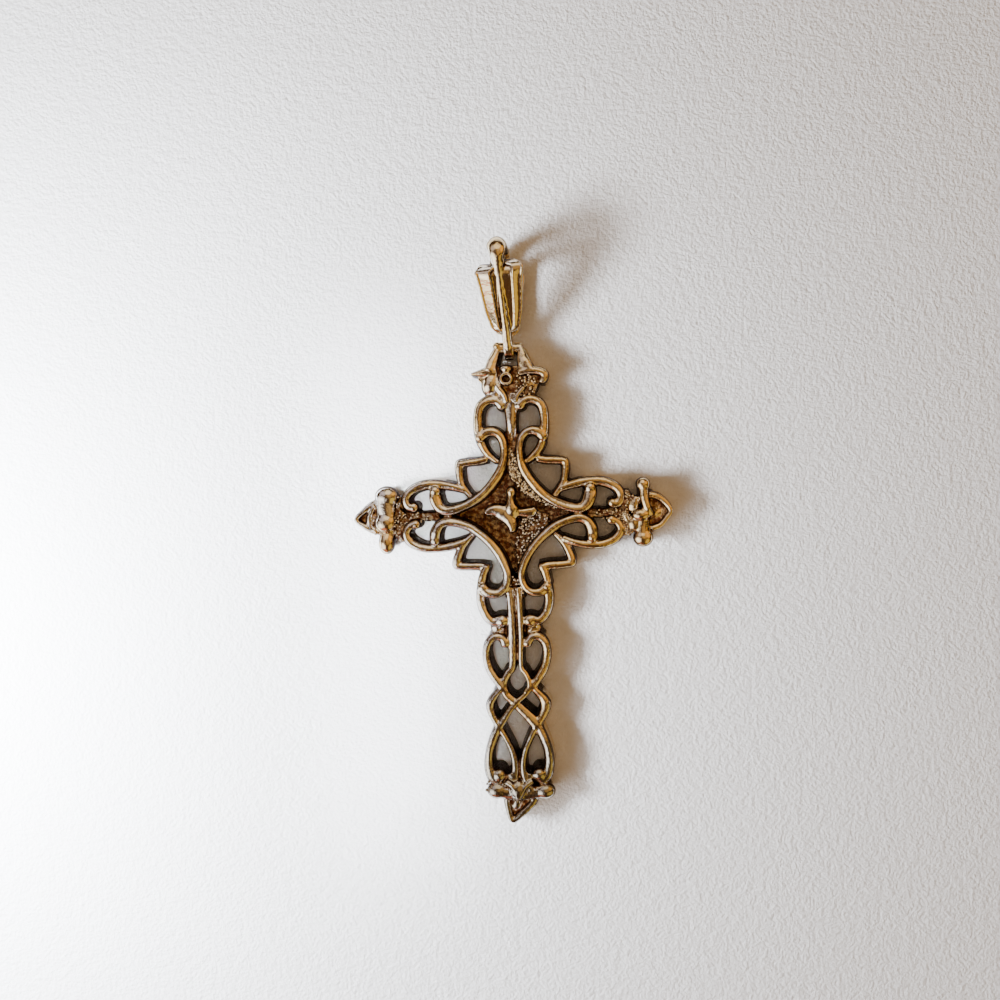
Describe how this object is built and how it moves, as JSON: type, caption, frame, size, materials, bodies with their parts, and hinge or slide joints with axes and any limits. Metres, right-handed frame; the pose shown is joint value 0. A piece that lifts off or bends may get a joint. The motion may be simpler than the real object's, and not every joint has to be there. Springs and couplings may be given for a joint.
{
  "type": "filigree cross pendant",
  "caption": "Openwork cast silver cross pendant with fleur ends, a sunk diamond centre and a fluted bail that swings on its top bar.",
  "frame": {"origin": "middle of the pendant's footprint, on the surface that it lies on", "axes": "+X along the arms to the right arm's tip, +Y up the stem to the bail, +Z out of the pendant's front"},
  "size_m": [0.0288, 0.052, 0.0059],
  "materials": {
    "cast_silver": "polished sterling silver with darkened recesses",
    "bail_silver": "polished sterling silver, dark in the flutes"
  },
  "bodies": {
    "cross": {"cross": "cast_silver"},
    "bail": {"bail": "bail_silver"}
  },
  "joints": [
    {"name": "bail_swing", "type": "hinge", "parent": "cross", "child": "bail", "pos_m": [0, 0.01656, 0.00125], "axis": [0.9976, 0.0698, 0], "range_deg": [-80, 80]}
  ]
}
